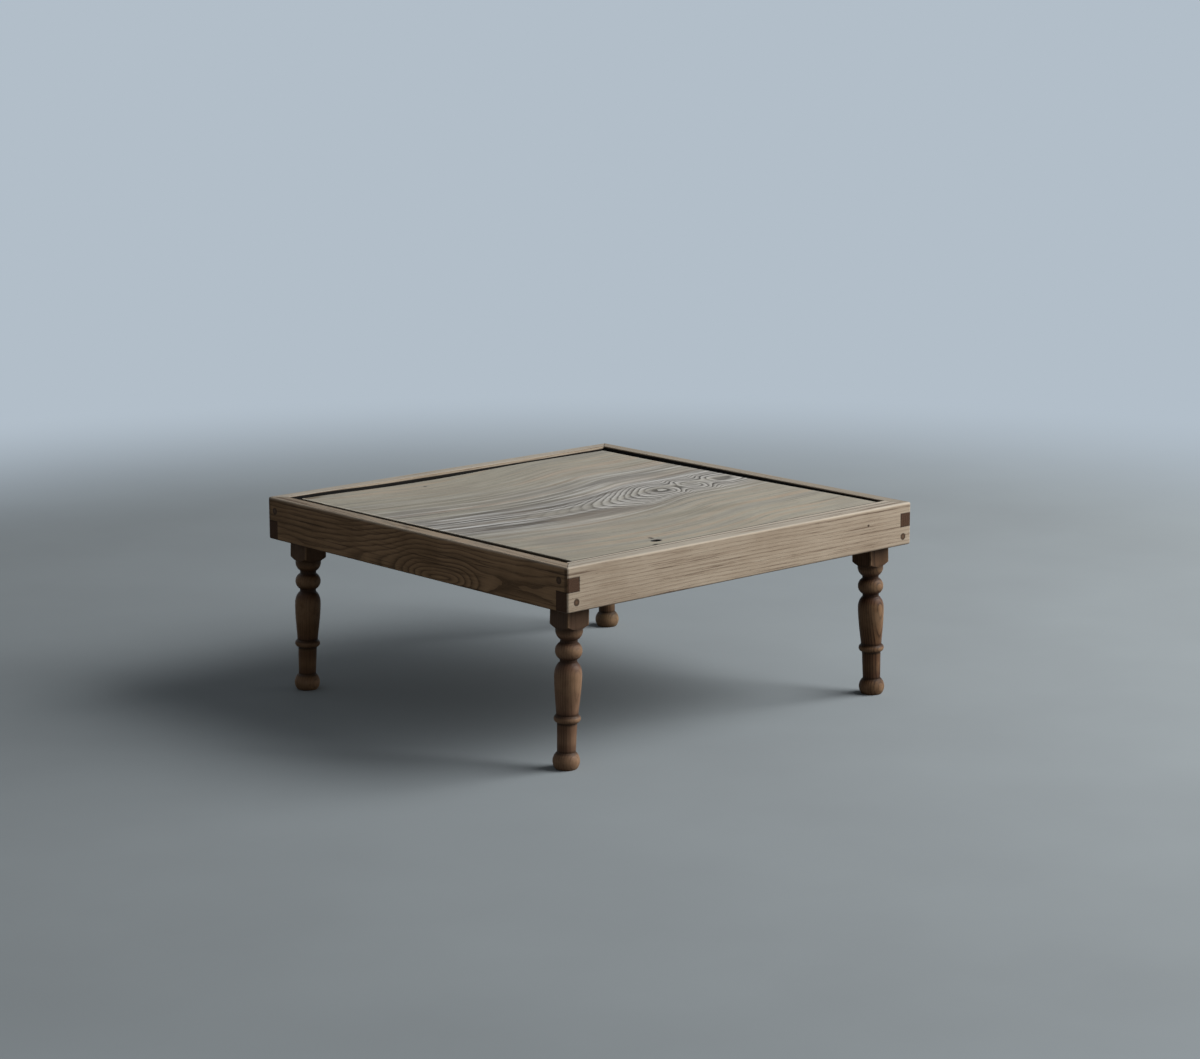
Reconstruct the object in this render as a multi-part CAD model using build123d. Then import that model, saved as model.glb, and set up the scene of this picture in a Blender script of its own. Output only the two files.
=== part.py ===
from build123d import *
import os
from math import asin, atan2, cos, degrees, hypot, radians, sin, tan

# Chabudai, a low folding table: a pegged frame of four rails round a loose-set board,
# on two pairs of turned legs that fold flat inside the frame.
# Millimetres. X runs along the grain of the board, Z is up, and the origin is on the
# floor under the middle of the table. The legs are modelled open.

# Overall sizes
table_length = 700.0
table_width = 700.0
table_height = 303.0

# Rails and their corner joints: a mitre on top, then one finger of each rail
rail_height = 65.5
rail_thickness = 23.0
mitre_depth = 15.7
upper_finger = 20.3
corner_round = 4.0
rim_round = 3.0
inner_rim_round = 1.2

# Pegs through the fingers
peg_diameter = 8.5
peg_length = 52.0
peg_inset = 17.5
upper_peg_drop = 20.3
lower_peg_drop = 51.5

# Board, lying loose on the ledgers with its shrinkage gaps
board_thickness = 12.0
board_recess = 3.5
board_gap_ends = 14.0
board_gap_back = 14.0
board_round = 1.5
knot_length = 14.0
knot_width = 9.0
knot_depth = 6.0
knot_floor_share = 0.6
knot_from_end = 219.0
knot_from_front = 54.5

# Tapered strip that fills the shrinkage gap along the front rail, level with the rim
strip_width_left = 6.0
strip_width_right = 12.0
strip_round = 0.8

# Ledgers nailed inside the rails
ledger_height = 10.0
ledger_width = 26.0
end_ledger_width = 22.0
nail_diameter = 2.4
nail_head_diameter = 5.0
nail_head_height = 1.0
ledger_nail_length = 38.0
ledger_nail_count = 5
board_nail_length = 18.0
board_nail_count = 3
nail_end_margin = 60.0

# Bearer across the middle, under the board
bearer_width = 36.0
bearer_height = 30.0
bearer_tenon_width = 20.0
bearer_tenon_height = 12.0
bearer_tenon_length = 14.0

# Leg blocks and the turned part below them
block_size = 40.0
block_edge_round = 1.5
block_foot_height = 204.0
leg_end_gap = 1.0
splay_angle = 2.0
fold_angle = 92.0
foot_height = 24.5
foot_bulge_height = 12.0
foot_radius = 19.6
foot_base_radius = 15.5
foot_neck_radius = 13.5
shaft_height = 43.0
shaft_top_radius = 14.4
ring_height = 11.0
ring_radius = 19.4
ring_step = 0.8
baluster_height = 76.5
baluster_base_radius = 15.8
baluster_waist_rise = 24.0
baluster_waist_swell = 2.2
baluster_radius = 19.8
baluster_widest_rise = 51.5
baluster_shoulder_radius = 18.6
baluster_shoulder_rise = 67.0
neck_radius = 12.5
neck_height = 4.0
bead_height = 24.5
bead_radius = 19.5
cup_neck_height = 4.0
cup_radius = 19.6
cup_height = 16.0
cup_fullness = 0.68
shoulder_rise = 6.0

# Pivots and crossbars
pivot_diameter = 10.0
pivot_depth_in_rail = 13.0
pivot_depth_in_block = 21.0
crossbar_width = 20.0
crossbar_height = 30.0
crossbar_tenon_width = 10.0
crossbar_tenon_height = 18.0
crossbar_tenon_length = 12.0
crossbar_peg_diameter = 6.0
crossbar_peg_length = 29.0

# Stays that drop on to the leaning seats of the crossbars and hold the legs open
stay_width = 60.0
stay_thickness = 10.0
stay_pin_diameter = 4.0
stay_pin_inset = 9.0
stay_seat_depth = 5.0
stay_seat_lean = 15.0
stay_tip_drop = 2.0
stay_end_play = 0.2
cheek_thickness = 12.0
cheek_length = 18.0
cheek_height = 15.0

# Clearances
stop_clearance = 0.3
swing_clearance = 0.5
stay_clearance = 1.0
side_clearance = 0.5
running_clearance = 0.05
fixed_clearance = 0.02
hole_end_clearance = 0.5

# Levels and places that follow
half_length = table_length / 2
half_width = table_width / 2
frame_bottom = table_height - rail_height
mitre_bottom = table_height - mitre_depth
upper_finger_bottom = mitre_bottom - upper_finger
board_top = table_height - board_recess
board_bottom = board_top - board_thickness
ledger_bottom = board_bottom - ledger_height
inner_half_length = half_length - rail_thickness
inner_half_width = half_width - rail_thickness
bearer_bottom = board_bottom - bearer_height

half_block = block_size / 2
leg_reach = max(half_block, foot_radius, ring_radius, baluster_radius, bead_radius, cup_radius)
pivot_height = ledger_bottom - swing_clearance - leg_reach
stop_drop = pivot_height - frame_bottom
pivot_inset = (
    rail_thickness
    + stop_clearance
    + half_block * cos(radians(splay_angle))
    + stop_drop * sin(radians(splay_angle))
)
pivot_x = half_length - pivot_inset
leg_y = inner_half_width - leg_end_gap - half_block
crossbar_half = leg_y - half_block

stay_pivot_x = bearer_width / 2 + stay_pin_inset
stay_pivot_z = board_bottom - stay_clearance - stay_thickness / 2
seat_face = crossbar_width / 2 - stay_seat_depth

# Levels of the turning, measured up the leg from the floor
shaft_top = foot_height + shaft_height
ring_top = shaft_top + ring_height
baluster_top = ring_top + baluster_height
bead_bottom = baluster_top + neck_height
bead_top = bead_bottom + bead_height
cup_bottom = bead_top + cup_neck_height


def box_between(low, high):
    """A box from one corner to the opposite one."""
    size = [high[i] - low[i] for i in range(3)]
    middle = [(high[i] + low[i]) / 2 for i in range(3)]
    return Pos(*middle) * Box(*size)


def rod(start, direction, diameter, length):
    """A round rod from a point along a direction."""
    plane = Plane(origin=start, z_dir=direction)
    return extrude(plane * Circle(diameter / 2), length)


def swung(shape, side):
    """Turn a piece of a leg pair, drawn upright, out to its splay."""
    axis = Axis((side * pivot_x, 0, pivot_height), (0, 1, 0))
    return shape.rotate(axis, -side * splay_angle)


def frame_ring():
    """The whole frame as one worn ring, before it is divided at its joints."""
    outer = box_between(
        (-half_length, -half_width, frame_bottom), (half_length, half_width, table_height)
    )
    outer = fillet(outer.edges().filter_by(Axis.Z), corner_round)
    outer = fillet(outer.faces().sort_by(Axis.Z)[-1].edges(), rim_round)
    outer = fillet(outer.faces().sort_by(Axis.Z)[0].edges(), rim_round)
    inner = box_between(
        (-inner_half_length, -inner_half_width, frame_bottom - rail_height),
        (inner_half_length, inner_half_width, table_height + rail_height),
    )
    ring = outer - inner
    top = ring.faces().sort_by(Axis.Z)[-1]
    return fillet(top.inner_wires().edges(), inner_rim_round)


def mitred_slab(long_half, short_half, side, along_x):
    """The mitred top of a rail: a trapezoid as deep as the mitre."""
    near = side * short_half
    far = side * (short_half - rail_thickness)
    ends = [(-long_half, near), (long_half, near)]
    ends += [(long_half - rail_thickness, far), (rail_thickness - long_half, far)]
    corners = ends if along_x else [(y, x) for x, y in ends]
    outline = make_face(Polyline(*corners, close=True))
    return extrude(Pos(0, 0, mitre_bottom) * outline, mitre_depth, dir=(0, 0, 1))


def rail_share(side, along_x):
    """The room in the ring that belongs to one rail."""
    if along_x:
        long_half, short_half = half_length, half_width
        full = (frame_bottom, upper_finger_bottom)
        held = (upper_finger_bottom, mitre_bottom)
    else:
        long_half, short_half = half_width, half_length
        full = (upper_finger_bottom, mitre_bottom)
        held = (frame_bottom, upper_finger_bottom)
    share = mitred_slab(long_half, short_half, side, along_x)
    across = sorted((side * short_half, side * (short_half - rail_thickness)))
    for reach, (low, high) in ((long_half, full), (long_half - rail_thickness, held)):
        if along_x:
            share += box_between((-reach, across[0], low), (reach, across[1], high))
        else:
            share += box_between((across[0], -reach, low), (across[1], reach, high))
    return share


def corner_pegs(diameter, length):
    """Both pegs of each corner: the upper one along X, the lower one along Y."""
    pegs = []
    upper = table_height - upper_peg_drop
    lower = table_height - lower_peg_drop
    for side_x in (-1, 1):
        for side_y in (-1, 1):
            start = (side_x * half_length, side_y * (half_width - peg_inset), upper)
            pegs.append(rod(start, (-side_x, 0, 0), diameter, length))
            start = (side_x * (half_length - peg_inset), side_y * half_width, lower)
            pegs.append(rod(start, (0, -side_y, 0), diameter, length))
    return pegs


def pivots(diameter, depth_in_rail, depth_in_block):
    """The four leg pivots, from inside the rail to inside the block."""
    pins = []
    for side_x in (-1, 1):
        for side_y in (-1, 1):
            start = (side_x * pivot_x, side_y * (inner_half_width + depth_in_rail), pivot_height)
            length = depth_in_rail + leg_end_gap + depth_in_block
            pins.append(rod(start, (0, -side_y, 0), diameter, length))
    return pins


def bearer_tenon(end_clearance, clearance):
    """The room that the bearer's two tenons take, one at each end."""
    reach = inner_half_width + bearer_tenon_length + end_clearance
    half = bearer_tenon_width / 2 + clearance
    low = bearer_bottom + (ledger_bottom - bearer_bottom - bearer_tenon_height) / 2
    return box_between(
        (-half, -reach, low - clearance), (half, reach, low + bearer_tenon_height + clearance)
    )


def nail(start, direction, length):
    """A wire nail with a flat head, from the face it is driven into."""
    head = rod(start, direction, nail_head_diameter, nail_head_height)
    return head + rod(start, direction, nail_diameter, length)


def nail_hole(start, direction, length):
    """The hole that a nail leaves, a little wider and deeper than the nail."""
    wider = 2 * fixed_clearance
    head = rod(start, direction, nail_head_diameter + wider, nail_head_height + fixed_clearance)
    return head + rod(start, direction, nail_diameter + wider, length + hole_end_clearance)


def spread(half, count):
    """Evenly spaced places along a ledger, clear of its ends and of its middle."""
    reach = half - nail_end_margin
    return [-reach + 2 * reach * (i + 0.5) / count for i in range(count)]


def ledger_nails(make):
    """Nails that hold the ledgers to the rails, driven level from inside."""
    level = (board_bottom + ledger_bottom) / 2
    nails = []
    for side in (-1, 1):
        for x in spread(inner_half_length, ledger_nail_count):
            start = (x, side * (inner_half_width - ledger_width), level)
            nails.append(make(start, (0, side, 0), ledger_nail_length))
        for y in spread(inner_half_width, ledger_nail_count):
            start = (side * (inner_half_length - end_ledger_width), y, level)
            nails.append(make(start, (side, 0, 0), ledger_nail_length))
    return nails


def board_nails(make):
    """Nails driven up through the ledgers into the board."""
    nails = []
    bearing_ends = (end_ledger_width + board_gap_ends) / 2
    for side, gap in ((-1, strip_width_right), (1, board_gap_back)):
        bearing = (ledger_width + gap) / 2
        for x in spread(inner_half_length, board_nail_count + 1):
            start = (x, side * (inner_half_width - bearing), ledger_bottom)
            nails.append(make(start, (0, 0, 1), board_nail_length))
        for y in spread(inner_half_width, board_nail_count + 1):
            start = (side * (inner_half_length - bearing_ends), y, ledger_bottom)
            nails.append(make(start, (0, 0, 1), board_nail_length))
    return nails


def rails():
    """Front, back, left and right rails with their joints, mortises and holes."""
    ring = frame_ring()
    holes = corner_pegs(peg_diameter + 2 * fixed_clearance, peg_length + hole_end_clearance)
    holes += pivots(
        pivot_diameter + 2 * fixed_clearance, pivot_depth_in_rail + hole_end_clearance, 0
    )
    holes += ledger_nails(nail_hole)
    holes.append(bearer_tenon(hole_end_clearance, fixed_clearance))
    shares = {
        "front_rail": rail_share(-1, True),
        "back_rail": rail_share(1, True),
        "left_rail": rail_share(-1, False),
        "right_rail": rail_share(1, False),
    }
    return {name: (ring & share).cut(*holes) for name, share in shares.items()}


def strip_edge(x):
    """How far back the front strip reaches, at a place along it."""
    share = (x + inner_half_length) / (2 * inner_half_length)
    return strip_width_left + share * (strip_width_right - strip_width_left) - inner_half_width


def slab_on_ledgers(half, front, back, thickness):
    """A slab on the ledgers, its front and back edges given by where their two ends lie."""
    outline = Polyline(
        (-half, front[0]), (half, front[1]), (half, back[1]), (-half, back[0]), close=True
    )
    return extrude(Pos(0, 0, board_bottom) * make_face(outline), thickness, dir=(0, 0, 1))


def front_strip():
    """The strip between the front rail and the board."""
    half = inner_half_length
    front = (-inner_half_width, -inner_half_width)
    back = (strip_edge(-half), strip_edge(half))
    strip = slab_on_ledgers(half, front, back, table_height - board_bottom)
    return fillet(strip.faces().sort_by(Axis.Z)[-1].edges().sort_by(Axis.Y)[-1], strip_round)


def top_board():
    """The board, with softened edges and an open knot near the front."""
    half = inner_half_length - board_gap_ends
    front = (strip_edge(-half), strip_edge(half))
    back = (inner_half_width - board_gap_back, inner_half_width - board_gap_back)
    board = slab_on_ledgers(half, front, back, board_thickness)
    board = fillet(board.faces().sort_by(Axis.Z)[-1].edges(), board_round)
    knot_x = knot_from_end - half_length
    knot_y = knot_from_front - half_width
    mouth = Pos(knot_x, knot_y, board_top) * Ellipse(knot_length / 2, knot_width / 2)
    floor_length = knot_floor_share * knot_length
    floor_width = knot_floor_share * knot_width
    floor = Pos(knot_x, knot_y, board_top - knot_depth) * Ellipse(floor_length / 2, floor_width / 2)
    board -= loft([mouth, floor])
    return board.cut(*board_nails(nail_hole))


def ledgers():
    """Ledgers along the rails, the end pair between the long pair."""
    outer_x = inner_half_length
    outer_y = inner_half_width
    inner_x = outer_x - end_ledger_width
    inner_y = outer_y - ledger_width
    low = ledger_bottom
    high = board_bottom
    strips = {
        "front_ledger": ((-outer_x, -outer_y, low), (outer_x, -inner_y, high)),
        "back_ledger": ((-outer_x, inner_y, low), (outer_x, outer_y, high)),
        "left_ledger": ((-outer_x, -inner_y, low), (-inner_x, inner_y, high)),
        "right_ledger": ((inner_x, -inner_y, low), (outer_x, inner_y, high)),
    }
    holes = ledger_nails(nail_hole) + board_nails(nail_hole)
    return {name: box_between(*ends).cut(*holes) for name, ends in strips.items()}


def centre_bearer():
    """The bearer under the middle of the board, notched under the long ledgers."""
    half = bearer_width / 2
    between = inner_half_width - ledger_width
    upper = box_between((-half, -between, ledger_bottom), (half, between, board_bottom))
    lower = box_between(
        (-half, -inner_half_width, bearer_bottom), (half, inner_half_width, ledger_bottom)
    )
    return upper + lower + bearer_tenon(0, 0)


def turning_outline():
    """Half the turned part of a leg, from the floor up into its square block."""
    ring_base = shaft_top_radius + ring_step
    line = [Line((0, 0), (foot_base_radius, 0))]
    line.append(
        ThreePointArc(
            (foot_base_radius, 0), (foot_radius, foot_bulge_height), (foot_neck_radius, foot_height)
        )
    )
    line.append(Line((foot_neck_radius, foot_height), (shaft_top_radius, shaft_top)))
    line.append(Line((shaft_top_radius, shaft_top), (ring_base, shaft_top)))
    ring_middle = (shaft_top + ring_top) / 2
    line.append(
        ThreePointArc(
            (ring_base, shaft_top), (ring_radius, ring_middle), (baluster_base_radius, ring_top)
        )
    )
    line.append(
        Spline(
            (baluster_base_radius, ring_top),
            (baluster_base_radius + baluster_waist_swell, ring_top + baluster_waist_rise),
            (baluster_radius, ring_top + baluster_widest_rise),
            (baluster_shoulder_radius, ring_top + baluster_shoulder_rise),
            (neck_radius, baluster_top),
        )
    )
    line.append(Line((neck_radius, baluster_top), (neck_radius, bead_bottom)))
    bead_middle = (bead_bottom + bead_top) / 2
    line.append(
        ThreePointArc(
            (neck_radius, bead_bottom), (bead_radius, bead_middle), (neck_radius, bead_top)
        )
    )
    line.append(Line((neck_radius, bead_top), (neck_radius, cup_bottom)))
    cup_middle = (
        neck_radius + cup_fullness * (cup_radius - neck_radius),
        cup_bottom + (1 - cup_fullness) * cup_height,
    )
    line.append(
        ThreePointArc(
            (neck_radius, cup_bottom), cup_middle, (cup_radius, cup_bottom + cup_height)
        )
    )
    return line


def upright_leg():
    """One leg on the Z axis with its foot at zero: turned below, square above."""
    axis_length = pivot_height / cos(radians(splay_angle))
    outline = turning_outline()
    last = outline[-1] @ 1
    shoulder_radius = hypot(half_block, half_block)
    crown = axis_length + half_block
    outline.append(Line((last.X, last.Y), (shoulder_radius, block_foot_height + shoulder_rise)))
    shoulder = outline[-1] @ 1
    outline.append(Line((shoulder.X, shoulder.Y), (shoulder_radius, crown)))
    outline.append(Line((shoulder_radius, crown), (0, crown)))
    outline.append(Line((0, crown), (0, 0)))
    body = revolve(Plane.XZ * make_face(outline), Axis.Z)
    square = extrude(RectangleRounded(block_size, block_size, block_edge_round), crown)
    leg = body & square
    crown_room = rod((0, -block_size, axis_length), (0, 1, 0), block_size, 2 * block_size)
    below = box_between((-block_size, -block_size, 0), (block_size, block_size, axis_length))
    return leg & (crown_room + below)


def crossbar_tenon(side_y, end_clearance, clearance):
    """The room of one crossbar tenon, on the axis of the pivots."""
    half_w = crossbar_tenon_width / 2 + clearance
    half_h = crossbar_tenon_height / 2 + clearance
    ends = sorted(
        (side_y * crossbar_half, side_y * (crossbar_half + crossbar_tenon_length + end_clearance))
    )
    return box_between((-half_w, ends[0], -half_h), (half_w, ends[1], half_h))


def crossbar_pegs(side, diameter, length):
    """Pegs through the blocks and the crossbar's tenons, driven from inside."""
    pegs = []
    for side_y in (-1, 1):
        y = side_y * (crossbar_half + crossbar_tenon_length / 2)
        start = (side * (pivot_x - half_block), y, pivot_height)
        pegs.append(rod(start, (side, 0, 0), diameter, length))
    return pegs


def placed_leg(side, side_y):
    """A leg at its corner, bored for its pivot and mortised for the crossbar."""
    drop = pivot_height - pivot_height / cos(radians(splay_angle))
    leg = Pos(side * pivot_x, side_y * leg_y, drop) * upright_leg()
    at_pivot = Pos(side * pivot_x, 0, pivot_height)
    holes = [at_pivot * crossbar_tenon(side_y, hole_end_clearance, fixed_clearance)]
    holes += pivots(
        pivot_diameter + 2 * running_clearance, 0, pivot_depth_in_block + hole_end_clearance
    )
    holes += crossbar_pegs(
        side, crossbar_peg_diameter + 2 * fixed_clearance, crossbar_peg_length + hole_end_clearance
    )
    leg = swung(leg.cut(*holes), side)
    floor = box_between(
        (-table_length, -table_width, -table_height), (table_length, table_width, 0)
    )
    return leg - floor


def seat_room(side):
    """The room cut into a crossbar for the stay's end: its face reaches in at the bottom."""
    half_h = crossbar_height / 2
    shift = half_h * tan(radians(stay_seat_lean))
    bottom = -side * (seat_face + shift)
    top = -side * (seat_face - shift)
    clear = -side * crossbar_width
    outline = Polyline(
        (bottom, -half_h), (clear, -half_h), (clear, half_h), (top, half_h), close=True
    )
    return extrude(Plane.XZ * make_face(outline), stay_width / 2 + side_clearance, both=True)


def crossbar(side):
    """The bar between a pair of legs, with the seat that the stay drops on to."""
    half_w = crossbar_width / 2
    half_h = crossbar_height / 2
    bar = box_between((-half_w, -crossbar_half, -half_h), (half_w, crossbar_half, half_h))
    for side_y in (-1, 1):
        bar += crossbar_tenon(side_y, 0, 0)
    bar = Pos(side * pivot_x, 0, pivot_height) * (bar - seat_room(side))
    holes = crossbar_pegs(
        side, crossbar_peg_diameter + 2 * fixed_clearance, crossbar_peg_length + hole_end_clearance
    )
    return swung(bar.cut(*holes), side)


def stay_tip():
    """Where the lower corner of the right stay's tip rests, seen from the front."""
    lean = radians(stay_seat_lean)
    turn = radians(splay_angle)
    face = seat_face + stay_tip_drop * tan(lean) + stay_end_play / cos(lean)
    across = face * cos(turn) - stay_tip_drop * sin(turn)
    down = stay_tip_drop * cos(turn) + face * sin(turn)
    return pivot_x - across, pivot_height - down


def stay_slope():
    """How far a stay hangs below level while its tip is in the seat, in degrees."""
    tip_x, tip_z = stay_tip()
    run = tip_x - stay_pivot_x
    drop = stay_pivot_z - tip_z
    return degrees(atan2(drop, run) - asin(stay_thickness / 2 / hypot(run, drop)))


def stay(side):
    """A stay from its pin at the bearer to its tip in the crossbar's seat."""
    tip_x, tip_z = stay_tip()
    slope = radians(stay_slope())
    along = (cos(slope), -sin(slope))
    up = (sin(slope), cos(slope))
    half = stay_thickness / 2
    root_low = (stay_pivot_x - half * up[0], stay_pivot_z - half * up[1])
    root_high = (stay_pivot_x + half * up[0], stay_pivot_z + half * up[1])
    root_end = (stay_pivot_x - half * along[0], stay_pivot_z - half * along[1])
    # The tip is cut parallel to the face of the seat, which is turned with the splay.
    lean = radians(stay_seat_lean - splay_angle)
    reach = stay_thickness / cos(lean - slope)
    tip_high = (tip_x + reach * sin(lean), tip_z + reach * cos(lean))
    outline = [
        Line(root_low, (tip_x, tip_z)),
        Line((tip_x, tip_z), tip_high),
        Line(tip_high, root_high),
        ThreePointArc(root_high, root_end, root_low),
    ]
    plane = Plane(origin=(0, stay_width / 2, 0), x_dir=(side, 0, 0), z_dir=(0, -side, 0))
    bar = extrude(plane * make_face(outline), side * stay_width)
    return bar - stay_pin(side, stay_pin_diameter + 2 * running_clearance)


def stay_pin(side, diameter):
    """The pin that a stay turns on, through both cheeks."""
    half = stay_width / 2 + side_clearance + cheek_thickness
    return rod((side * stay_pivot_x, -half, stay_pivot_z), (0, 1, 0), diameter, 2 * half)


def stay_cheeks(side):
    """The two cheeks that hold a stay's pin, glued to the bearer and the board."""
    near = bearer_width / 2
    across = sorted((side * near, side * (near + cheek_length)))
    bottom = board_bottom - cheek_height
    inner = stay_width / 2 + side_clearance
    outer = inner + cheek_thickness
    hole = stay_pin(side, stay_pin_diameter + 2 * fixed_clearance)
    front = box_between((across[0], -outer, bottom), (across[1], -inner, board_bottom)) - hole
    back = box_between((across[0], inner, bottom), (across[1], outer, board_bottom)) - hole
    return Compound(children=[front, back])


def build():
    """Every piece by its name."""
    pieces = rails()
    pieces["top_board"] = top_board()
    pieces["front_strip"] = front_strip()
    pieces.update(ledgers())
    pieces["centre_bearer"] = centre_bearer()
    pieces["corner_pegs"] = Compound(children=corner_pegs(peg_diameter, peg_length))
    pieces["ledger_nails"] = Compound(children=ledger_nails(nail))
    pieces["board_nails"] = Compound(children=board_nails(nail))
    pieces["leg_pivots"] = Compound(
        children=pivots(pivot_diameter, pivot_depth_in_rail, pivot_depth_in_block)
    )
    for name, side in (("left", -1), ("right", 1)):
        pieces[f"front_{name}_leg"] = placed_leg(side, -1)
        pieces[f"back_{name}_leg"] = placed_leg(side, 1)
        pieces[f"{name}_crossbar"] = crossbar(side)
        pegs = crossbar_pegs(side, crossbar_peg_diameter, crossbar_peg_length)
        pieces[f"{name}_crossbar_pegs"] = Compound(children=[swung(peg, side) for peg in pegs])
        pieces[f"{name}_stay"] = stay(side)
        pieces[f"{name}_stay_pin"] = stay_pin(side, stay_pin_diameter)
        pieces[f"{name}_stay_cheeks"] = stay_cheeks(side)
    return pieces


os.makedirs("parts", exist_ok=True)
for piece_name, piece in build().items():
    export_step(piece, f"parts/{piece_name}.step")

foot_x = pivot_x + pivot_height * tan(radians(splay_angle))
print(f"leg pivots: x {pivot_x:.3f}, z {pivot_height:.3f}; legs at y {leg_y:.3f}")
print(f"stay pins: x {stay_pivot_x:.3f}, z {stay_pivot_z:.3f}; slope {stay_slope():.4f} degrees")
print(f"stay turns {stay_slope() / fold_angle:.6f} as fast as its legs; feet at x {foot_x:.3f}")
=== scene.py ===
import math

import bmesh
import bpy
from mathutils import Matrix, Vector


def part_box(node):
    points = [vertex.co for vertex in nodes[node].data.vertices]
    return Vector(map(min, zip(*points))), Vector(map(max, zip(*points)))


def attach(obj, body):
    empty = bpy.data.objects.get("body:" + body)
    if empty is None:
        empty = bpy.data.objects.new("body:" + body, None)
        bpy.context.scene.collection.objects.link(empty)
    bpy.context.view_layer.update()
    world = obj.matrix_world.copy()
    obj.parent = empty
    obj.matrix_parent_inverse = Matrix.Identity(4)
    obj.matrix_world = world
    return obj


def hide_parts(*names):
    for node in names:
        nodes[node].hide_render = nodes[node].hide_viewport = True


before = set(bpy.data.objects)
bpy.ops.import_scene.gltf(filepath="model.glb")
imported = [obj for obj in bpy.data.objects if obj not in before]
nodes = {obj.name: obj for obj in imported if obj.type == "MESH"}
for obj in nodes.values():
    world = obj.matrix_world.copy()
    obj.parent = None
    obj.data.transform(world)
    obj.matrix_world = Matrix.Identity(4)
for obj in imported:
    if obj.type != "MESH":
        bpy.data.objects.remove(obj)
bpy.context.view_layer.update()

# Sizes of the carpentry, in metres. X runs along the grain of the board.
rail_low, rail_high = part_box("front_rail")
half_table = rail_high.x
table_top = rail_high.z
inner_edge = half_table - (rail_high.y - rail_low.y)
table_span = (-half_table, half_table)
board_low, board_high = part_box("top_board")
strip_low, strip_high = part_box("front_strip")
peg_inset = 0.0175
peg_radius = 0.00425
lower_peg_level = table_top - 0.0515
upper_peg_level = table_top - 0.0203
mitre_level = table_top - 0.0157
finger_level = mitre_level - 0.0203
# The strip's inner edge runs slightly askew.
strip_skew = 0.006 / (strip_high.x - strip_low.x)
strip_middle = strip_high.y - 0.003
# A leg's axis meets the floor foot_x from the middle, and leans in as it goes up.
leg_lean = math.tan(math.radians(2.0))
foot_x = 0.315006
leg_span = (0.0, 0.25)
block_level = 0.200


# Building blocks of the finishes


class Nodes:
    """A node tree being put together, with plain words for its sums."""

    def __init__(self, tree):
        self.tree = tree

    def put(self, kind, feeds=None, **settings):
        """Add a node, set it up, and feed its sockets with values or other sockets."""
        node = self.tree.nodes.new("ShaderNode" + kind)
        for key, value in settings.items():
            setattr(node, key, value)
        for socket, value in (feeds or {}).items():
            self.feed(node.inputs[socket], value)
        return node

    def feed(self, socket, value):
        if isinstance(value, bpy.types.NodeSocket):
            self.tree.links.new(value, socket)
        else:
            socket.default_value = value

    def maths(self, operation, *values):
        return self.put("Math", dict(enumerate(values)), operation=operation).outputs[0]

    def chain(self, operation, first, *others):
        for other in others:
            first = self.maths(operation, first, other)
        return first

    def times(self, *values):
        return self.chain("MULTIPLY", *values)

    def minus(self, first, second):
        return self.maths("SUBTRACT", first, second)

    def larger(self, *values):
        return self.chain("MAXIMUM", *values)

    def smaller(self, *values):
        return self.chain("MINIMUM", *values)

    def size(self, value):
        """A value without its sign."""
        return self.maths("ABSOLUTE", value)

    def distance(self, first, second):
        """The long side of a right triangle."""
        squares = self.maths("ADD", self.times(first, first), self.times(second, second))
        return self.maths("SQRT", squares)

    def nudge(self, value, noise, amount):
        """A value pushed up and down by a noise round the noise's middle."""
        return self.maths("MULTIPLY_ADD", self.minus(noise, 0.5), amount, value)

    def seen_ray(self):
        """One for rays from the camera, also by way of a gloss or a glass, else nought."""
        path = self.put("LightPath").outputs
        kinds = ("Camera", "Glossy", "Transmission")
        return self.larger(*(path[f"Is {kind} Ray"] for kind in kinds))


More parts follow.
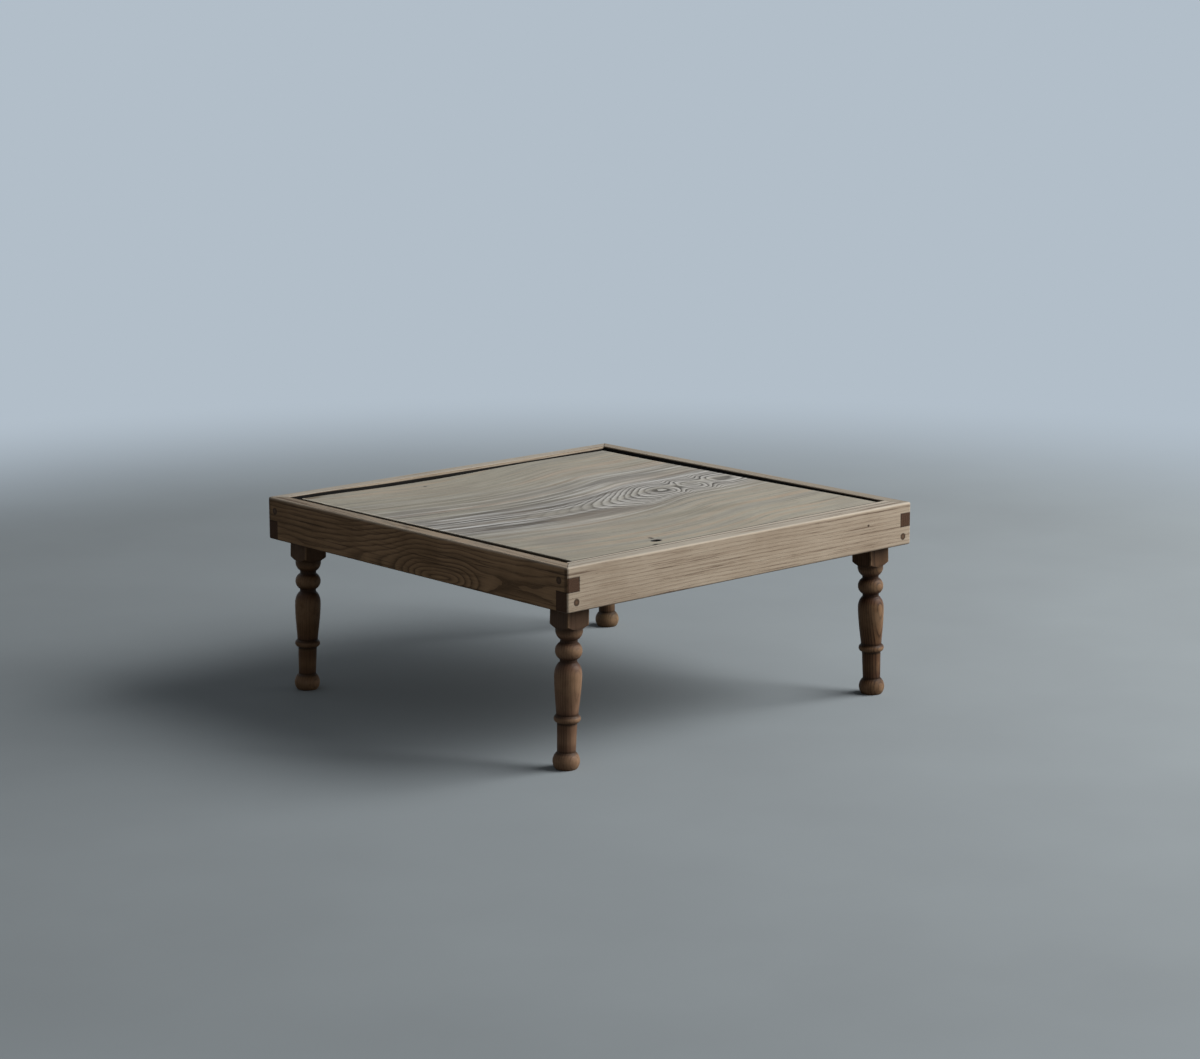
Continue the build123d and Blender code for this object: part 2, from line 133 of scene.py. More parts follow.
class Finish(Nodes):
    """A material being put together from its nodes."""

    def __init__(self, name):
        self.material = bpy.data.materials.new(name)
        self.material.use_nodes = True
        super().__init__(self.material.node_tree)
        self.shader = self.tree.nodes["Principled BSDF"]
        self.place = self.put("TexCoord").outputs["Object"]
        self.facing = self.put("TexCoord").outputs["Normal"]

    def split(self, vector):
        return self.put("SeparateXYZ", {0: vector}).outputs[:]

    def join(self, x, y, z):
        return self.put("CombineXYZ", {0: x, 1: y, 2: z}).outputs[0]

    def fade(self, value, low, high, start, end):
        """A soft step of a value from one level to another."""
        feeds = {"Value": value, "From Min": low, "From Max": high}
        feeds.update({"To Min": start, "To Max": end})
        return self.put("MapRange", feeds, interpolation_type="SMOOTHSTEP").outputs[0]

    def rise(self, value, low, high, top=1.0):
        return self.fade(value, low, high, 0.0, top)

    def fall(self, value, low, high, top=1.0):
        return self.fade(value, low, high, top, 0.0)

    def noise(self, vector, scale=1.0, detail=2.0, roughness=0.5, output=0):
        feeds = {"Vector": vector, "Scale": scale, "Detail": detail, "Roughness": roughness}
        return self.put("TexNoise", feeds).outputs[output]

    def drawn_out(self, grain, rates, seed=0.0):
        """The place on a plank, with its own rate along and across the grain."""
        along, across, deep = grain
        return self.join(
            self.maths("MULTIPLY_ADD", along, rates[0], seed),
            self.times(across, rates[1]),
            self.times(deep, rates[1]),
        )

    def streaks(self, along, across, rates, layer, detail, roughness):
        """Noise drawn out along the grain; each layer has a pattern of its own."""
        drawn = self.join(self.times(along, rates[0]), self.times(across, rates[1]), layer)
        return self.noise(drawn, 1.0, detail, roughness)

    def curve(self, value, span, reach, points):
        """A value that follows a smooth line drawn through points.

        span and reach are the lowest and highest places and values that the line covers.
        """
        feeds = {"Value": value, "From Min": span[0], "From Max": span[1]}
        share = self.put("MapRange", feeds).outputs[0]
        node = self.put("FloatCurve", {"Value": share})
        line = node.mapping.curves[0]
        shares = [
            ((x - span[0]) / (span[1] - span[0]), (y - reach[0]) / (reach[1] - reach[0]))
            for x, y in points
        ]
        line.points[0].location = shares[0]
        line.points[1].location = shares[-1]
        for share_x, share_y in shares[1:-1]:
            line.points.new(share_x, share_y)
        node.mapping.update()
        feeds = {"Value": node.outputs[0], "To Min": reach[0], "To Max": reach[1]}
        return self.put("MapRange", feeds).outputs[0]

    def blend(self, factor, first, second):
        node = self.put("Mix", data_type="RGBA")
        for socket, value in ((0, factor), (6, first), (7, second)):
            self.feed(node.inputs[socket], value)
        return node.outputs[2]

    def ramp(self, factor, *stops):
        node = self.put("ValToRGB", {0: factor})
        line = node.color_ramp
        while len(line.elements) < len(stops):
            line.elements.new(0.5)
        for element, (position, colour) in zip(line.elements, stops):
            element.position = position
            element.color = colour
        return node.outputs[0]

    def finish(self, colour, rough, height, depth, relief, gloss=0.15):
        """Join colour, roughness and relief to the shader; dry wood has little gloss."""
        self.shader.inputs["Specular IOR Level"].default_value = gloss
        bump = self.put("Bump", {"Height": height, "Distance": depth, "Strength": relief})
        self.feed(self.shader.inputs["Base Color"], colour)
        self.feed(self.shader.inputs["Roughness"], rough)
        self.feed(self.shader.inputs["Normal"], bump.outputs[0])
        return self.material


def levels(edge, offsets):
    """The two levels that lie at the given offsets from an edge."""
    return edge + offsets[0], edge + offsets[1]


def grey(level):
    return (level, level, level, 1.0)


def tone(red, green, blue):
    """A colour given as it looks on a screen, 0 to 255, turned to the light it returns."""
    return tuple(
        (v / 255 / 12.92 if v / 255 < 0.04045 else ((v / 255 + 0.055) / 1.055) ** 2.4)
        for v in (red, green, blue)
    ) + (1.0,)


# How fast the patterns of the wood change along and across the grain, per metre.
sway_rates = (3.0, 9.0)
ripple_rates = (22.0, 90.0)
fibre_rates = (16.0, 620.0)
vessel_rates = (55.0, 1900.0)
old_dirt_rates = (5.0, 240.0)
saw_rates = (700.0, 1.0)
fray_rates = (9.0, 50.0)


def timber(made, grain, heart, depth, ring, tones, wander=0.012, pores=0.5, figure=0.8, seed=0.0):
    """Growth rings, pores and fibres of one plank.

    grain is the place on the plank as (along, across, deep). heart and depth say where
    the middle of the tree runs, across the plank and below its face. ring is a year's
    growth, wander is how far the rings stray, and figure is how strongly they show.
    tones are the light wood, the dark wood and the pores.
    Gives the colour, the rings and the relief.
    """
    _, across, deep = grain
    sway = made.noise(made.drawn_out(grain, sway_rates, seed), detail=3.0, output=1)
    sway_across, sway_deep, _ = made.split(sway)
    side = made.nudge(made.minus(across, heart), sway_across, wander * 2)
    below = made.nudge(made.minus(deep, depth), sway_deep, wander * 2)
    years = made.maths("DIVIDE", made.distance(side, below), ring)
    ripple = made.noise(made.drawn_out(grain, ripple_rates, seed), detail=3.0)
    years = made.maths("MULTIPLY_ADD", ripple, 0.45, years)
    rings = made.ramp(
        made.maths("FRACT", years),
        (0.0, grey(0.15)),
        (0.10, grey(0.0)),
        (0.34, grey(0.55)),
        (0.80, grey(1.0)),
        (0.96, grey(0.7)),
    )
    # Good years and poor ones.
    year = made.noise(made.join(made.maths("FLOOR", years), seed, 0.0), 0.73, 0.0)
    rings = made.nudge(rings, year, 0.8)
    fibre = made.noise(made.drawn_out(grain, fibre_rates, seed), 1.0, 4.0, 0.6)
    vessel = made.noise(made.drawn_out(grain, vessel_rates, seed), detail=1.0)
    early = made.fade(rings, 0.15, 0.75, 1.0, 0.12)
    pore = made.times(made.rise(vessel, 0.52, 0.70), early)
    light, dark, pit = tones
    body = made.nudge(made.nudge(0.5, rings, figure), fibre, 0.9)
    wood = made.blend(made.larger(made.smaller(body, 1.0), 0.0), dark, light)
    wood = made.blend(made.times(pore, pores), wood, pit)
    relief = made.maths("MULTIPLY_ADD", fibre, 0.35, made.times(rings, 0.6))
    relief = made.minus(relief, made.times(pore, 0.5))
    return wood, rings, relief


def patch(made, place, middle, reach, strength, fray=1.1):
    """A soft oval patch with a frayed edge, as a share of its strength."""
    off = made.distance(
        *(
            made.maths("DIVIDE", made.minus(value, centre), half)
            for value, centre, half in zip(place, middle, reach)
        )
    )
    ragged = made.streaks(*place, fray_rates, 0.0, 4.0, 0.6)
    off = made.nudge(off, ragged, fray)
    return made.fall(off, 0.8 - fray * 0.3, 1.15, strength)


def off_peg(made, along, z, level):
    """How far a place on an outer face lies from the middle of its corner's peg."""
    off_along = made.minus(made.size(along), half_table - peg_inset)
    return made.distance(off_along, made.minus(z, level))


# The frame

dirt_and_shade_tone = tone(40, 28, 20)
seam_tone = tone(44, 33, 26)
long_rim = tone(160, 154, 143)
side_rim = tone(129, 123, 112)
rail_tones = (tone(178, 164, 145), tone(139, 122, 103), tone(82, 64, 52))
# The left rail's colours are darker and browner than the other rails': less bleached wood, with
# painted shade.
left_tones = (tone(166, 134, 101), tone(108, 85, 61), tone(52, 38, 28))
dot_reach = (0.0026, 0.0020)
# Round its eye a rail's figure fades over this reach, to this strength.
eye_reach = (0.06, 0.24)
away_from_eye = 0.75
# Where dirt, wear, painted shade and painted highlights begin and end, in metres from the edge or
# seam that they belong to.
finger_seam = (0.0002, 0.0012)
mitre_seam = (0.0003, 0.0012)
peg_seam = (0.0004, 0.0018)
inner_wall = (0.0003, 0.0018)
grime_and_shade_end = (-0.030, -0.018)
grime_and_shade_start = (0.0, 0.0014)
shaded_corner_reach = (-0.0080, -0.0035)
upper_arris = (-0.0046, -0.0006)
outer_arris = (-0.0038, -0.0004)
lower_arris = (0.0004, 0.0022)
strip_front_seam = (0.0002, 0.0010)
strip_back_seam = (0.0010, 0.0016)
strip_rub_start = (0.0010, 0.0020)
strip_rub_end = (0.0030, 0.0050)
# Each rail's heart and depth lines, and its habits of growth, wear and painted shade.
rail_habits = {
    "front": {
        "runs_along_x": True,
        "heart_line": ((-0.35, 0.40), (0.0, 0.405), (0.35, 0.398)),
        "depth_line": ((-0.35, -0.25), (0.0, -0.255), (0.35, -0.25)),
        "ring": 0.0046,
        "tones": rail_tones,
        "rim_tone": long_rim,
        "dot": (0.2556, 0.279),
        "wander": 0.004,
        "pores": 0.35,
        "figure": 0.22,
        "seed": 1.0,
    },
    "back": {
        "runs_along_x": True,
        "heart_line": ((-0.35, 0.18), (0.0, 0.175), (0.35, 0.185)),
        "depth_line": ((-0.35, 0.22), (0.0, 0.225), (0.35, 0.22)),
        "ring": 0.0032,
        "tones": rail_tones,
        "rim_tone": long_rim,
        "clean": (
            (-0.35, 0.0003),
            (-0.25, 0.0008),
            (-0.12, 0.0031),
            (0.12, 0.0035),
            (0.35, 0.0029),
        ),
        "wander": 0.006,
        "figure": 0.6,
        "seed": 2.0,
    },
    "left": {
        "runs_along_x": False,
        "heart_line": (
            (-0.35, 0.262),
            (-0.18, 0.252),
            (-0.067, 0.247),
            (0.1, 0.243),
            (0.35, 0.232),
        ),
        "depth_line": (
            (-0.35, -0.325),
            (-0.17, -0.322),
            (-0.067, -0.347),
            (0.05, -0.312),
            (0.35, -0.300),
        ),
        "ring": 0.0056,
        "tones": left_tones,
        "rim_tone": side_rim,
        "eye": -0.067,
        "wander": 0.017,
        "figure": 1.0,
        "seed": 3.0,
    },
    "right": {
        "runs_along_x": False,
        "heart_line": ((-0.35, 0.275), (-0.1, 0.270), (0.1, 0.262), (0.35, 0.258)),
        "depth_line": ((-0.35, 0.30), (-0.1, 0.31), (0.12, 0.335), (0.35, 0.31)),
        "ring": 0.0040,
        "tones": rail_tones,
        "rim_tone": side_rim,
        "wander": 0.010,
        "figure": 0.6,
        "seed": 5.0,
    },
}


def joint_dirt_and_shade(made, along, across, z, facing_z, runs_along_x):
    """Dirt round the neighbouring rail's finger and along the mitre, and dirt with painted shade
    round the peg.
    """
    far = made.size(along)
    low, high = (finger_level, mitre_level) if runs_along_x else (rail_low.z, finger_level)
    gap = made.larger(made.minus(low, z), made.minus(z, high), made.minus(inner_edge, far))
    seam = made.fall(made.size(gap), *finger_seam)
    mitre = made.fall(made.size(made.minus(far, made.size(across))), *mitre_seam)
    mitre = made.times(mitre, made.rise(facing_z, 0.3, 0.6))
    level = lower_peg_level if runs_along_x else upper_peg_level
    # The dark ring round the peg is dirt and painted shade of its gap.
    round_peg = made.fall(off_peg(made, along, z, level), *levels(peg_radius, peg_seam))
    return made.larger(seam, mitre, round_peg)


def inner_grime_and_shade(made, along, across, z, clean):
    """A century of grime, with painted shade, on a rail's inner wall, from below the undarkened
    line to 30 mm down.
    """
    inside = made.fall(made.size(across), *levels(inner_edge, inner_wall))
    undarkened_line = made.curve(along, table_span, (0.0, 0.004), clean)
    sunk = made.rise(made.minus(made.minus(table_top, z), undarkened_line), *grime_and_shade_start)
    above_end = made.rise(z, *levels(table_top, grime_and_shade_end))
    return made.times(inside, made.times(sunk, above_end))


def rail_finish(
    name,
    runs_along_x,
    heart_line,
    depth_line,
    ring,
    tones,
    rim_tone,
    clean=((-0.35, 0.0008), (0.35, 0.0008)),
    eye=None,
    dot=None,
    **habit,
):
    """Dry, worn rail wood, with dark end grain, seams at the joints and pale arrises.

    clean says how far below the rim the inner wall is free of grime and painted
    shade along the rail. eye is where the figure is strongest. dot is the place of a dark pin
    knot.
    """
    made = Finish(name)
    light, dark, pit = tones
    x, y, z = made.split(made.place)
    facing_x, facing_y, facing_z = made.split(made.facing)
    along, across = (x, y) if runs_along_x else (y, x)
    end_facing = facing_x if runs_along_x else facing_y
    heart = made.curve(along, table_span, (0.0, 0.5), heart_line)
    depth = made.curve(along, table_span, (-0.5, 0.5), depth_line)
    if eye is not None:
        # The figure is strongest at its eye.
        off_eye = made.size(made.minus(along, eye))
        habit["figure"] = made.fade(off_eye, *eye_reach, habit["figure"], away_from_eye)
    grain = (along, z, across)
    wood, _, relief = timber(made, grain, heart, depth, ring, tones, **habit)
    blotch = made.noise(made.place, 9.0, 4.0, 0.6)
    wood = made.blend(made.rise(blotch, 0.45, 0.70, 0.45), wood, dark)
    wood = made.blend(made.fall(blotch, 0.30, 0.46, 0.35), wood, light)
    # Light has bleached the rim.
    rim = made.rise(facing_z, 0.4, 0.8)
    wood = made.blend(made.times(rim, 0.7), wood, rim_tone)
    # Long, fine streaks of old dirt along the grain.
    streak = made.noise(made.drawn_out(grain, old_dirt_rates), 1.0, 5.0, 0.7)
    wood = made.blend(made.rise(streak, 0.50, 0.62, 0.6), wood, dark)
    wood = made.blend(made.rise(streak, 0.57, 0.65, 0.7), wood, pit)
    wood = made.blend(made.fall(streak, 0.36, 0.44, 0.4), wood, light)
    # End grain drinks dirt and oil and goes dark.
    end = made.rise(made.size(end_facing), 0.75, 0.9)
    speck = made.noise(made.place, 700.0, 2.0)
    wood = made.blend(end, wood, made.blend(speck, tone(44, 30, 21), tone(92, 66, 48)))
    # Dark joints, with painted shade in the gap round the peg.
    dirt_and_shade = joint_dirt_and_shade(made, along, across, z, facing_z, runs_along_x)
    wood = made.blend(made.times(dirt_and_shade, 0.85), wood, dirt_and_shade_tone)
    if not runs_along_x:
        # The upright arrises of the side rails are painted dark: painted shade on their rounded
        # corners.
        shaded_corners = made.rise(made.size(along), *levels(half_table, shaded_corner_reach), 0.6)
        shaded_corners = made.times(shaded_corners, made.minus(1.0, made.larger(rim, end)))
        wood = made.blend(shaded_corners, wood, tone(44, 28, 20))
    if dot is not None:
        pin_knot = patch(made, (along, z), dot, dot_reach, 0.9, 0.3)
        wood = made.blend(pin_knot, wood, tone(58, 42, 32))
    # Small dents and flecks hold dirt.
    fleck = made.rise(made.noise(made.place, 260.0, 2.0), 0.70, 0.76)
    wood = made.blend(made.times(fleck, 0.7), wood, pit)
    # The upper outer arrises are pale: worn by hands and cloths, with a painted highlight.
    rub = made.fade(made.noise(made.place, 16.0, 3.0), 0.2, 0.7, 0.45, 1.0)
    upper = made.rise(z, *levels(table_top, upper_arris))
    outer = made.rise(made.size(across), *levels(half_table, outer_arris))
    wood = made.blend(made.times(upper, outer, rub, 0.5), wood, tone(196, 184, 166))
    # The lower arris is painted dark: painted shade where it turns under.
    lower = made.fall(z, *levels(rail_low.z, lower_arris), 0.75)
    wood = made.blend(lower, wood, pit)
    # Grime and painted shade darken the inner wall nearly to black below the rim.
    wood = made.blend(inner_grime_and_shade(made, along, across, z, clean), wood, tone(13, 9, 6))
    rough = made.fade(blotch, 0.3, 0.7, 0.68, 0.82)
    return made.finish(wood, rough, relief, 0.0005, 0.6)


def strip_edge(made, x):
    """Where the strip meets the board."""
    return made.maths("MULTIPLY_ADD", x, strip_skew, strip_middle)


def strip_finish():
    """The strip in the front gap, bleached like the rim, with a dark seam along each side."""
    made = Finish("rail_wood_strip")
    grain = made.split(made.place)
    x, y, _ = grain
    tones = (tone(170, 158, 142), tone(146, 132, 115), tone(84, 68, 54))
    habit = {"heart": -0.1, "depth": 0.5, "ring": 0.0022, "wander": 0.003}
    wood, _, relief = timber(made, grain, tones=tones, figure=0.4, seed=7.0, **habit)
    wood = made.blend(0.4, wood, long_rim)
    front_seam = made.fall(made.minus(y, strip_low.y), *strip_front_seam, 0.25)
    back = made.minus(strip_edge(made, x), y)
    rubbed = made.times(made.rise(back, *strip_rub_start), made.fall(back, *strip_rub_end, 0.7))
    wood = made.blend(rubbed, wood, tone(196, 184, 168))
    back_seam = made.fall(back, *strip_back_seam, 0.95)
    wood = made.blend(made.larger(front_seam, back_seam), wood, seam_tone)
    _, _, facing_z = made.split(made.facing)
    # Its sides and underside, down in the gaps, are painted near black: painted shade.
    wood = made.blend(made.fall(facing_z, 0.6, 0.95, 0.95), wood, tone(28, 20, 15))
    return made.finish(wood, 0.75, relief, 0.0004, 0.6)


# The board

# Where the middle of the tree runs under the board, and how deep it lies.
heart_of_board = (
    (-0.35, -0.026),
    (-0.22, -0.050),
    (-0.10, -0.062),
    (0.0, -0.052),
    (0.07, -0.034),
    (0.137, -0.014),
    (0.24, -0.008),
    (0.35, 0.004),
)
depth_of_board = (
    (-0.35, 0.170),
    (-0.24, 0.178),
    (-0.15, 0.186),
    (-0.07, 0.198),
    (0.0, 0.211),
    (0.05, 0.223),
    (0.10, 0.236),
    (0.145, 0.2425),
    (0.18, 0.233),
    (0.209, 0.241),
    (0.245, 0.231),
    (0.274, 0.238),
    (0.35, 0.226),
)
# How much the board has silvered, off its heart line and along it.
silver_across = (
    (-0.35, 0.0),
    (-0.14, 0.08),
    (-0.06, 0.50),
    (-0.03, 0.90),
    (0.02, 1.0),
    (0.08, 0.85),
    (0.14, 0.50),
    (0.21, 0.20),
    (0.35, 0.0),
)
silver_along = ((-0.35, 0.0), (-0.10, 0.15), (-0.02, 0.75), (0.05, 1.0), (0.35, 1.0))
flow_span = (-0.35, 0.35)
figured_reach = (0.035, 0.075)
# The open knot's middle and half size.
board_knot = ((-0.131, -0.2955), (0.0100, 0.0066))
board_seam = (0.0014, 0.0034)
pale_arris = (0.0015, 0.0060)
pale_towards_back = (-0.20, 0.05)
# Stains, cracks and nicks: middle, half size, strength and colour.
board_stains = (
    ((-0.302, 0.309), (0.034, 0.012), 0.8, tone(104, 88, 68)),
    ((-0.05, -0.092), (0.11, 0.026), 0.75, tone(112, 104, 94)),
    ((-0.26, 0.105), (0.07, 0.030), 0.40, tone(122, 118, 112)),
    ((-0.10, 0.015), (0.16, 0.016), 0.45, tone(118, 115, 110)),
    ((0.0, 0.105), (0.12, 0.030), 0.35, tone(132, 128, 122)),
    ((0.17, 0.10), (0.10, 0.035), 0.35, tone(130, 127, 122)),
    ((0.04, -0.18), (0.15, 0.018), 0.45, tone(126, 120, 106)),
    ((-0.22, -0.20), (0.07, 0.040), 0.40, tone(126, 120, 112)),
    ((-0.125, -0.278), (0.0032, 0.0070), 1.0, tone(40, 30, 24)),
    ((-0.150, -0.3140), (0.0050, 0.0026), 1.0, tone(40, 30, 24)),
    ((-0.100, 0.274), (0.004, 0.004), 0.9, tone(60, 48, 38)),
)
# How the board has sunk: the middle and half size of each part that is pushed down, how
# far the push spreads, and its depth.
board_pulls = (
    ((0.0, 0.31), (0.40, 0.015), 0.60, 0.0019),
    ((-0.09, 0.31), (0.03, 0.015), 0.22, 0.0036),
    ((0.20, 0.31), (0.12, 0.015), 0.26, 0.0007),
    ((0.31, 0.04), (0.015, 0.10), 0.26, 0.0013),
)
# The board is cut into this many lengths each way to bend, bends down to this depth, and
# first stands this far under the rim. Creases flatter than the angle are shaded smooth.
board_cuts = 24
bending_depth = 0.0085
under_rim = 0.0004
crease_angle = math.radians(12)


def silvering(made, x, flow, rings, fine, broad):
    """The greyed, figured middle of the board: its share and its colour."""
    band = made.curve(flow, flow_span, (0.0, 1.0), silver_across)
    length = made.curve(x, table_span, (0.0, 1.0), silver_along)
    share = made.times(band, made.fade(broad, 0.26, 0.55, 0.35, 1.0))
    silver = made.ramp(
        fine,
        (0.37, tone(44, 40, 38)),
        (0.46, tone(102, 98, 93)),
        (0.53, tone(154, 151, 146)),
        (0.61, tone(192, 191, 188)),
    )
    figured = made.blend(rings, tone(42, 37, 34), tone(184, 181, 175))
    near_heart = made.fall(made.size(flow), *figured_reach)
    silver = made.blend(made.times(near_heart, length, 0.92), silver, figured)
    return made.times(share, 0.95), silver


def board_finish():
    """The scrubbed board: tan at its edges, greyed and figured across the middle."""
    made = Finish("board_wood_scrubbed")
    grain = made.split(made.place)
    x, y, _ = grain
    heart = made.curve(x, table_span, (-0.15, 0.15), heart_of_board)
    depth = made.curve(x, table_span, (0.15, 0.28), depth_of_board)
    tones = (tone(172, 167, 152), tone(124, 117, 103), tone(70, 62, 53))
    habit = {"ring": 0.0046, "wander": 0.006, "pores": 0.6, "figure": 0.22, "seed": 4.0}
    wood, rings, relief = timber(made, grain, heart, depth, tones=tones, **habit)
    # The grain sweeps along the heart line, and every streak follows it.
    flow = made.minus(y, heart)
    long = made.streaks(x, flow, (1.6, 55.0), 2.0, 5.0, 0.6)
    fine = made.streaks(x, flow, (3.2, 95.0), 0.0, 4.0, 0.65)
    broad = made.streaks(x, flow, (2.0, 26.0), 5.0, 3.0, 0.5)
    hair = made.streaks(x, flow, (5.0, 330.0), 9.0, 2.0, 0.6)
    # Long streaks, here warmer and there greyer.
    wood = made.blend(made.rise(long, 0.50, 0.66, 0.55), wood, tone(168, 146, 124))
    wood = made.blend(made.fall(long, 0.34, 0.48, 0.6), wood, tone(132, 128, 120))
    share, silver = silvering(made, x, flow, rings, fine, broad)
    wood = made.blend(share, wood, silver)
    # Dark fibres, like hairs, run with the grain.
    wood = made.blend(made.rise(hair, 0.56, 0.68, 0.6), wood, tone(84, 76, 68))
    for middle, reach, strength, stain in board_stains:
        wood = made.blend(patch(made, (x, y), middle, reach, strength), wood, stain)
    blotch = made.noise(made.place, 6.0, 3.0, 0.55)
    wood = made.blend(made.rise(blotch, 0.46, 0.72, 0.35), wood, tone(138, 129, 116))
    # Darker along the seam with the strip; the left arris is paler towards the back, worn and
    # with a painted highlight.
    seam = made.fall(made.minus(y, strip_edge(made, x)), *board_seam, 0.95)
    wood = made.blend(seam, wood, seam_tone)
    pale = made.fall(x, *levels(board_low.x, pale_arris), 0.6)
    pale = made.times(pale, made.rise(y, *pale_towards_back))
    wood = made.blend(pale, wood, tone(192, 184, 168))
    _, _, facing_z = made.split(made.facing)
    # The board's upright edges, down in the gaps, are darkened: grime and painted shade.
    upright = made.fall(made.size(facing_z), 0.3, 0.7, 0.9)
    wood = made.blend(upright, wood, tone(62, 51, 36))
    # The underside was never scrubbed, and stays brown.
    brown_side = made.blend(fine, tone(84, 64, 46), tone(138, 112, 84))
    wood = made.blend(made.fall(facing_z, -0.8, -0.5, 0.75), wood, brown_side)
    # The open knot is painted near black: dark knot wood, and painted shade in its hole.
    wood = made.blend(patch(made, (x, y), *board_knot, 1.0, 0.0), wood, tone(20, 14, 10))
    rough = made.fade(broad, 0.3, 0.7, 0.62, 0.8)
    return made.finish(wood, rough, relief, 0.0005, 0.5)


def pick(piece, test):
    """Select the points of a piece, in edit mode, that pass a test on their place."""
    mesh = bmesh.from_edit_mesh(piece.data)
    for point in mesh.verts:
        point.select = not point.hide and test(point.co)
    mesh.select_flush_mode()
    bmesh.update_edit_mesh(piece.data)


def warped_board():
    """The board as the years have left it: level with the rim in front, sagging at the back."""
    bpy.ops.object.select_all(action="DESELECT")
    board = bpy.data.objects.new("board_warped", nodes["top_board"].data.copy())
    bpy.context.scene.collection.objects.link(board)
    bpy.context.view_layer.objects.active = board
    board.select_set(True)
    bpy.ops.object.mode_set(mode="EDIT")
    bpy.ops.mesh.select_all(action="SELECT")
    bpy.ops.mesh.remove_doubles(threshold=0.00001)
    for axis, length in ((0, board_high.x - board_low.x), (1, board_high.y - board_low.y)):
        for step in range(1, board_cuts):
            place, normal = [0.0, 0.0, 0.0], [0.0, 0.0, 0.0]
            place[axis] = board_low[axis] + length * step / board_cuts
            normal[axis] = 1.0
            bpy.ops.mesh.select_all(action="SELECT")
            bpy.ops.mesh.bisect(plane_co=place, plane_no=normal)
    # Only the upper side moves.
    pick(board, lambda co: co.z < board_high.z - bending_depth)
    bpy.ops.mesh.hide(unselected=False)
    bpy.ops.mesh.select_all(action="SELECT")
    bpy.ops.transform.translate(value=(0, 0, table_top - under_rim - board_high.z))
    for (x, y), (reach_x, reach_y), spread, drop in board_pulls:
        pick(board, lambda co: abs(co.x - x) < reach_x and abs(co.y - y) < reach_y)
        bpy.ops.transform.translate(
            value=(0, 0, -drop),
            use_proportional_edit=True,
            proportional_edit_falloff="SMOOTH",
            proportional_size=spread,
        )
    bpy.ops.mesh.reveal()
    bpy.ops.mesh.select_all(action="SELECT")
    bpy.ops.mesh.normals_make_consistent(inside=False)
    bpy.ops.object.mode_set(mode="OBJECT")
    bpy.ops.object.shade_smooth_by_angle(angle=crease_angle)
    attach(board, "frame")
    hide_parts("top_board")
    return board


# The legs

# Up the leg: dirt in the grooves, red-brown stain in the necks, and wear on the swells.
leg_grooves = (
    (0.0, 0.5),
    (0.004, 0.1),
    (0.020, 0.1),
    (0.0245, 1.0),
    (0.029, 0.15),
    (0.062, 0.1),
    (0.0672, 1.0),
    (0.0705, 0.0),
    (0.0755, 0.1),
    (0.0788, 1.0),
    (0.083, 0.1),
    (0.148, 0.05),
    (0.157, 0.95),
    (0.163, 0.1),
    (0.178, 0.1),
    (0.1855, 1.0),
    (0.192, 0.15),
    (0.204, 0.5),
    (0.209, 0.0),
    (0.25, 0.0),
)
leg_necks = (
    (0.0, 0.0),
    (0.022, 0.0),
    (0.030, 0.6),
    (0.042, 0.0),
    (0.060, 0.5),
    (0.068, 0.0),
    (0.080, 0.6),
    (0.090, 0.0),
    (0.140, 0.0),
    (0.151, 1.0),
    (0.160, 1.0),
    (0.166, 0.0),
    (0.178, 0.0),
    (0.184, 0.9),
    (0.191, 0.9),
    (0.196, 0.0),
    (0.25, 0.0),
)
leg_swells = (
    (0.0, 0.0),
    (0.012, 1.0),
    (0.022, 0.0),
    (0.045, 0.15),
    (0.066, 0.0),
    (0.073, 1.0),
    (0.079, 0.0),
    (0.10, 0.1),
    (0.130, 0.75),
    (0.150, 0.0),
    (0.160, 0.0),
    (0.1715, 1.0),
    (0.182, 0.0),
    (0.198, 0.7),
    (0.206, 0.2),
    (0.25, 0.1),
)
worn_leg = tone(158, 128, 98)
block_blur = (-0.004, 0.004)
block_arris = (0.0165, 0.0196)
# Each leg's colours, how strongly its rings show, and how much darker its block is.
leg_wear = {
    "front_left": ((tone(144, 113, 89), tone(92, 69, 52), tone(42, 29, 21)), 0.28, 0.62),
    "front_right": ((tone(118, 88, 62), tone(64, 44, 30), tone(30, 19, 13)), 0.65, 0.4),
    "back_left": ((tone(128, 97, 68), tone(80, 57, 38), tone(40, 27, 18)), 0.3, 0.4),
    "back_right": ((tone(114, 92, 66), tone(72, 55, 40), tone(38, 27, 19)), 0.4, 0.4),
}


